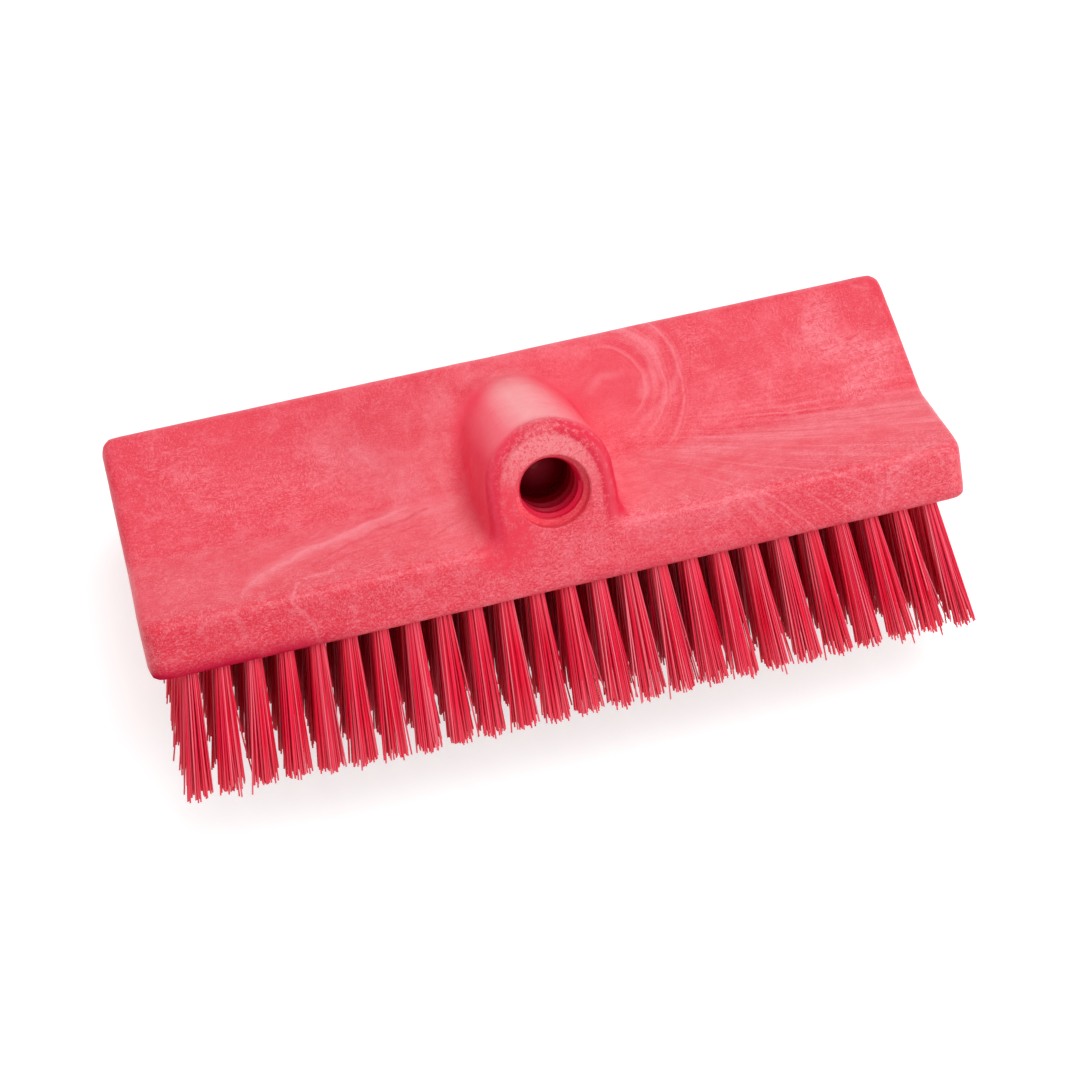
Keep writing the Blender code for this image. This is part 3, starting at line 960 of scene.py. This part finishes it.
def markFaces(obj):
    # masks for the material, worked out in the bore frame: x along the head, y down the
    # bore, z up the lip
    count = len(obj.data.vertices)
    places, normals = (np.empty(count * 3, np.float32) for _ in range(2))
    obj.data.vertices.foreach_get("co", places)
    obj.data.vertices.foreach_get("normal", normals)
    places, normals = places.reshape(-1, 3), normals.reshape(-1, 3)
    turn = np.array(stance.inverted(), np.float64)
    x, y, z = (places @ turn[:3, :3].T + turn[:3, 3]).T
    tilt = np.abs((normals @ turn[:3, :3].T)[:, 0])
    radius, rimWidth, thick = block["bossRadius"], block["bossRim"], head["thickness"]
    across, rise = np.abs(x) / radius, (z - bossHeight) / radius
    farSide = fade(x, 0.0, radius)
    front = fade(y, *masks["lipFace"])

    # round the boss: reach is the distance from the middle of its arch or from its middle plane
    reach = np.hypot(x, z - bossHeight)
    reach = np.where(z > bossHeight, reach, np.abs(x) - block["flankDraft"] / 2)
    # rough band round the rim, twice as strong on the far side, where it is painted shade
    rimReach = rimWidth * (markTones["rimWidth"] + markTones["rimWiden"] * farSide)
    rim = fade(np.abs(reach - radius + rimReach / 2) / rimReach, *masks["rimAcross"])
    rim *= fade(z, 0.0, block["mouthDepth"]) * (y < rimWidth * markTones["rimLength"])
    rim *= (markTones["rimTop"] + markTones["rimEnds"] * across) * (1 + farSide)
    # depth down the bore, for painted shade that deepens towards its end
    inside = np.hypot(x, z - block["boreHeight"]) < block["mouthRadius"] + block["hair"]
    inside &= y < block["boreDepth"] + block["overrun"]
    bore = fade(y, 0.0, block["boreDepth"]) * inside
    # painted shade on the boss's flanks, where the normal turns sideways; weaker on the right
    side = fade(tilt, *masks["sideTilt"]) * fade(across, *masks["sideAcross"]) * (1 - inside)
    side *= np.where(x > 0.0, markTones["sideRight"], 1.0)
    face = fade(y, *masks["faceDown"]) * fade(across, *masks["faceAcross"]) * (1 - inside)
    # painted highlight on the upper part of the boss's face
    crownHighlight = face * fade((z - block["boreHeight"]) / radius, *masks["crownRise"])
    # painted shade on the near, lower side of the boss's face
    near = face * fade(-x / radius, *masks["nearAcross"]) * markTones["near"]
    near *= fade(-rise, *masks["nearFall"]) * fade(z, *masks["nearRise"])
    # painted highlight along the crest of the boss, strongest on the left
    crest = fade(rise, *masks["crestRise"]) * fade(reach / radius, *masks["crestAcross"])
    crest *= fade(y, rimWidth, rimWidth * 2) * fade(y, *masks["crestDown"])
    fall = markTones["crest"] - markTones["crestFall"] * x / radius
    crest *= np.clip(fall, markTones["crestLeast"], 1.0)
    # painted shade in the crease where the boss's left flank meets the wing
    root = fade(reach - radius, *masks["rootIn"]) * fade(reach - radius, *masks["rootOut"])
    root *= fade(y, *masks["rootStart"]) * fade(y, *masks["rootEnd"])
    root *= fade(z, *masks["rootRise"]) * (x < 0.0)

    # painted shade along the foot of the lip, none near the middle and strongest at the left end
    foot = front * fade((z + thick) / thick, *masks["footRise"])
    foot *= fade(np.abs(x - markTones["footMiddle"]), *masks["footAlong"])
    footShadeShare = markTones["foot"] - markTones["footGain"] * x
    foot *= np.clip(footShadeShare, markTones["footLeast"], markTones["footMost"])

    marks = {
        "lipFace": front, "rimBandAndShade": rim, "boreDepth": bore, "bossSideShade": side,
        "faceHighlight": crownHighlight, "faceShade": np.clip(near, 0.0, 1.0),
        "crestHighlight": crest, "bossFoot": root, "lipFoot": foot,
    }
    for name, strokes in washes.items():
        base = foam["grain"] if name == "grainWash" else 0.0
        marks[name] = strokeShare(places[:, :2], strokes, base)
    for name, values in marks.items():
        layer = obj.data.attributes.new(name, "FLOAT", "POINT")
        layer.data.foreach_set("value", values.astype(np.float32))
    return marks.keys()


def buildBlock():
    obj = foldedBar()
    obj.name = "moulded_block"
    boolean(obj, cornerWaste(), "DIFFERENCE")
    boolean(obj, socketBoss(), "UNION")
    points = footPoints(obj)
    print("block joined, foot points:", len(points))
    net = obj.modifiers.new("net", "REMESH")
    net.mode, net.voxel_size, net.adaptivity = "VOXEL", block["voxel"], 0.0
    applyModifiers(obj)
    soften(obj, "foot", points, block["footReach"], block["footPasses"])
    soften(obj, "corner", cornerPoints(), block["cornerReach"], block["cornerPasses"])
    skin = obj.modifiers.new("skin", "SMOOTH")
    skin.factor, skin.iterations = 0.5, block["allPasses"]
    clouds = bpy.data.textures.new("waviness", "CLOUDS")
    clouds.noise_scale = block["waveSize"]
    wave = obj.modifiers.new("waviness", "DISPLACE")
    wave.texture, wave.strength, wave.mid_level = clouds, block["waviness"], 0.5
    applyModifiers(obj)
    print("block softened, faces:", len(obj.data.polygons))
    boolean(obj, boreCore(), "DIFFERENCE")
    boolean(obj, threadGroove(), "DIFFERENCE")
    boolean(obj, tuftHoles(), "DIFFERENCE")
    obj.data.transform(stance)
    shadeByAngle(obj, block["sharpAngle"])
    obj.data.materials.clear()
    obj.data.materials.append(foamMaterial(markFaces(obj)))
    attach(obj, "root")
    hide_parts("block")
    print("block done, faces:", len(obj.data.polygons))


buildBlock()

# Tufts: every filament is a thin tube from inside its hole to the trimmed end
tufts = {
    "filaments": 72,
    "filamentRadius": 0.00025,
    "packRadius": 0.00215,
    "goldenTurn": 2.39996,
    "turnPlay": 0.25,
    "sink": 0.0045,
    "splay": 0.054,
    "wander": 0.006,
    "strayShare": 0.09,
    "straySplay": 0.085,
    "outward": 0.026,
    "bow": 0.0003,
    "strayBow": 3,
    "trimSpread": 0.0013,
    "strayTrim": (-0.0024, 0.0012),
    "worn": 0.0020,
    "wornFrom": 0.055,
    "wornUntil": 0.105,
    "points": 5,
    "seed": 7,
    "sharpAngle": 65.0,
}

bristle = {
    "deep": (0.90, 0.006, 0.040),
    "middle": (0.97, 0.026, 0.082),
    "light": (1.00, 0.068, 0.136),
    "pale": (1.00, 0.250, 0.320),
    # painted sheen near the roots
    "root": (1.00, 0.120, 0.190),
    # painted light at the tips
    "tip": (1.00, 0.160, 0.220),
    # painted shade on the left and right sides of each filament
    "flank": (0.84, 0.000, 0.010),
    "streak": (900.0, 900.0, 120.0),
    "specular": 0.05,
}


def bristleMaterial():
    material, tree, shader = startMaterial("bristle_red")
    place = newNode(tree, "TexCoord").outputs["Object"]
    tint, reach, flank = (
        newNode(tree, "Attribute", attribute_name=name).outputs["Fac"]
        for name in ("tint", "reach", "flank")
    )
    colour = ramp(tree, tint, [
        (0.0, bristle["deep"]), (0.30, bristle["middle"]),
        (0.65, bristle["light"]), (1.0, bristle["pale"]),
    ])
    # painted sheen near the roots
    colour = paint(tree, colour, bristle["root"], ramp(tree, reach, [(0.10, 0.55), (0.45, 0.0)]))
    # painted light at the tips
    colour = paint(tree, colour, bristle["tip"], ramp(tree, reach, [(0.70, 0.0), (1.0, 0.50)]))
    # painted shade on the left and right sides of each filament
    colour = paint(tree, colour, bristle["flank"], ramp(tree, flank, [(0.50, 0.0), (0.95, 0.90)]))
    tree.links.new(colour, shader.inputs["Base Color"])
    streak = noise(tree, stretched(tree, place, bristle["streak"]), 1.0, 2.0)
    gloss = ramp(tree, streak, [(0.30, 0.32), (0.70, 0.44)])
    tree.links.new(gloss, shader.inputs["Roughness"])
    shader.inputs["Specular IOR Level"].default_value = bristle["specular"]
    return material


def filamentPaths(index, position, tilt, draw):
    # points of each filament in the row's own frame: Z out of the wing's underside
    lean = math.tan(rowLean(index, tilt))
    onFloor = tilt == rearTilt
    outerRow = {0: -1.0, len(rowPlaces()) - 1: 1.0}.get(index, 0.0)
    shares = np.linspace(0.0, 1.0, tufts["points"])
    paths = []
    for x in tuftStations():
        fan = x * rows["sideFan"] / head["trim"]
        for number in range(tufts["filaments"]):
            spread = math.sqrt((number + 0.5) / tufts["filaments"])
            angle = number * tufts["goldenTurn"]
            angle += draw.uniform(-tufts["turnPlay"], tufts["turnPlay"])
            side = Vector((math.cos(angle), math.sin(angle))) * spread
            stray = draw.random() < tufts["strayShare"]
            splay = tufts["straySplay"] if stray else tufts["splay"]
            slopeX = fan + side.x * splay + draw.gauss(0.0, tufts["wander"])
            slopeY = side.y * splay + draw.gauss(0.0, tufts["wander"])
            if slopeY * outerRow > tufts["outward"]:
                slopeY = tufts["outward"] * outerRow
            slopeY += lean
            ease = abs(draw.gauss(0.0, tufts["trimSpread"]))
            if not onFloor:
                ease += tufts["worn"] * fade(-x, tufts["wornFrom"], tufts["wornUntil"])
            if stray and not onFloor:
                ease += draw.uniform(*tufts["strayTrim"])
            fall = head["trim"] - ease - tufts["filamentRadius"]
            bow = tufts["strayBow"] if stray else 1
            bowX, bowY = (draw.gauss(0.0, tufts["bow"]) * bow for _ in range(2))
            root = side * tufts["packRadius"]
            z = tufts["sink"] - shares * (fall + tufts["sink"])
            bend = np.where(z < 0, (z / fall) ** 2, 0.0)
            paths.append(np.stack([
                x + root.x - slopeX * z + bowX * bend,
                root.y - slopeY * z + bowY * bend,
                z,
            ], 1))
    return np.array(paths)


def buildRow(index, position, tilt, draw, material):
    paths = filamentPaths(index, position, tilt, draw)
    space = np.array(stance @ rowSpace(position, tilt), np.float64)
    paths = paths @ space[:3, :3].T + space[:3, 3]
    curve = bpy.data.curves.new("filaments", "CURVE")
    curve.dimensions = "3D"
    curve.bevel_depth, curve.bevel_resolution = tufts["filamentRadius"], 1
    points = tufts["points"]
    for path in paths:
        spline = curve.splines.new("POLY")
        spline.points.add(points - 1)
        spline.points.foreach_set("co", np.column_stack([path, np.ones(points)]).ravel())
    holder = bpy.data.objects.new("filaments", curve)
    bpy.context.scene.collection.objects.link(holder)
    mesh = bpy.data.meshes.new_from_object(holder)
    bpy.data.objects.remove(holder)
    obj = linkMesh(f"tuft_row_{index + 1:02d}", mesh)
    sides = len(mesh.vertices) // (len(paths) * points)
    bm = bmesh.new()
    bm.from_mesh(mesh)
    openEnds = [edge for edge in bm.edges if edge.is_boundary]
    bmesh.ops.holes_fill(bm, edges=openEnds, sides=sides)
    bmesh.ops.recalc_face_normals(bm, faces=bm.faces[:])
    bm.to_mesh(mesh)
    bm.free()
    tint = np.array([draw.random() for _ in range(len(paths))], np.float32)
    reach = np.linspace(0.0, 1.0, points, dtype=np.float32)
    places = np.empty(len(mesh.vertices) * 3, np.float32)
    mesh.vertices.foreach_get("co", places)
    rings = places.reshape(-1, sides, 3)
    # how far each point sits to the side of its filament, for painted shade on the filament's sides
    flank = np.abs(rings - rings.mean(1, keepdims=True))[:, :, 0] / tufts["filamentRadius"]
    for name, values in (
        ("flank", flank.ravel()),
        ("tint", np.repeat(tint, points * sides)),
        ("reach", np.tile(np.repeat(reach, sides), len(paths))),
    ):
        layer = mesh.attributes.new(name, "FLOAT", "POINT")
        layer.data.foreach_set("value", values)
    shadeByAngle(obj, tufts["sharpAngle"])
    mesh.materials.clear()
    mesh.materials.append(material)
    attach(obj, "root")
    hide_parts(f"bristle_row_{index + 1:02d}")
    return len(mesh.polygons)


def buildTufts():
    material = bristleMaterial()
    for index, (position, tilt) in enumerate(rowPlaces()):
        faces = buildRow(index, position, tilt, random.Random(tufts["seed"] + index), material)
    print("tufts done, faces in a row:", faces)


buildTufts()

# Studio: pale floor, broad lamps above, in front and behind, and a plain world
studio = {
    "floorSize": 8.0,
    "lampAim": (0.0, 0.0, 0.05),
    "floorWhite": 0.80,
    "floorGlow": 0.545,
    "floorShade": 0.77,
    "worldStrength": 0.50,
    "lamps": (
        ("key", (0.30, 0.15, 1.5), 0.9, 8.9),
        ("side", (-1.15, -0.30, 0.55), 0.8, 1.0),
        ("fill", (1.25, -1.00, 0.75), 0.9, 7.7),
        ("back", (0.15, 1.30, 0.45), 0.9, 2.2),
    ),
}


def whiteSeen(tree):
    # 1 for the lens, for a gloss and through clear materials, 0 for the light on the object
    path = newNode(tree, "LightPath")
    seen = path.outputs["Is Camera Ray"]
    for kind in ("Is Transmission Ray", "Is Glossy Ray"):
        seen = math2(tree, "MAXIMUM", seen, path.outputs[kind])
    return seen


def buildFloor():
    bm = bmesh.new()
    bmesh.ops.create_grid(bm, x_segments=1, y_segments=1, size=studio["floorSize"] / 2)
    obj = fromBmesh("floor", bm)
    material, tree, shader = startMaterial("floor_white")
    tree.nodes.remove(shader)
    output = tree.nodes["Material Output"]
    white = studio["floorWhite"]
    shade = studio["floorShade"]
    plain = newNode(tree, "BsdfDiffuse", {"Color": (white, white, white, 1.0)})
    soft = newNode(tree, "BsdfDiffuse", {"Color": (shade, shade, shade, 1.0)})
    glow = newNode(tree, "Emission", {"Strength": studio["floorGlow"]})
    seen = newNode(tree, "AddShader", {0: soft.outputs[0], 1: glow.outputs[0]})
    mix = newNode(tree, "MixShader", {0: whiteSeen(tree), 1: plain.outputs[0], 2: seen.outputs[0]})
    tree.links.new(mix.outputs[0], output.inputs["Surface"])
    obj.data.materials.append(material)


def buildLamp(name, place, size, power):
    data = bpy.data.lights.new(name, "AREA")
    data.size, data.energy = size, power
    obj = bpy.data.objects.new(name, data)
    bpy.context.scene.collection.objects.link(obj)
    aim = Vector(studio["lampAim"]) - Vector(place)
    obj.location = place
    obj.rotation_euler = aim.to_track_quat("-Z", "Y").to_euler()


def buildWorld():
    world = bpy.data.worlds.new("studio")
    bpy.context.scene.world = world
    world.use_nodes = True
    tree = world.node_tree
    ground = tree.nodes["Background"]
    ground.inputs["Color"].default_value = (1.0, 1.0, 1.0, 1.0)
    strength = math2(tree, "MAXIMUM", whiteSeen(tree), studio["worldStrength"])
    tree.links.new(strength, ground.inputs["Strength"])


buildFloor()
for lamp in studio["lamps"]:
    buildLamp(*lamp)
buildWorld()
bpy.context.scene.view_settings.view_transform = "Standard"
print("studio done")
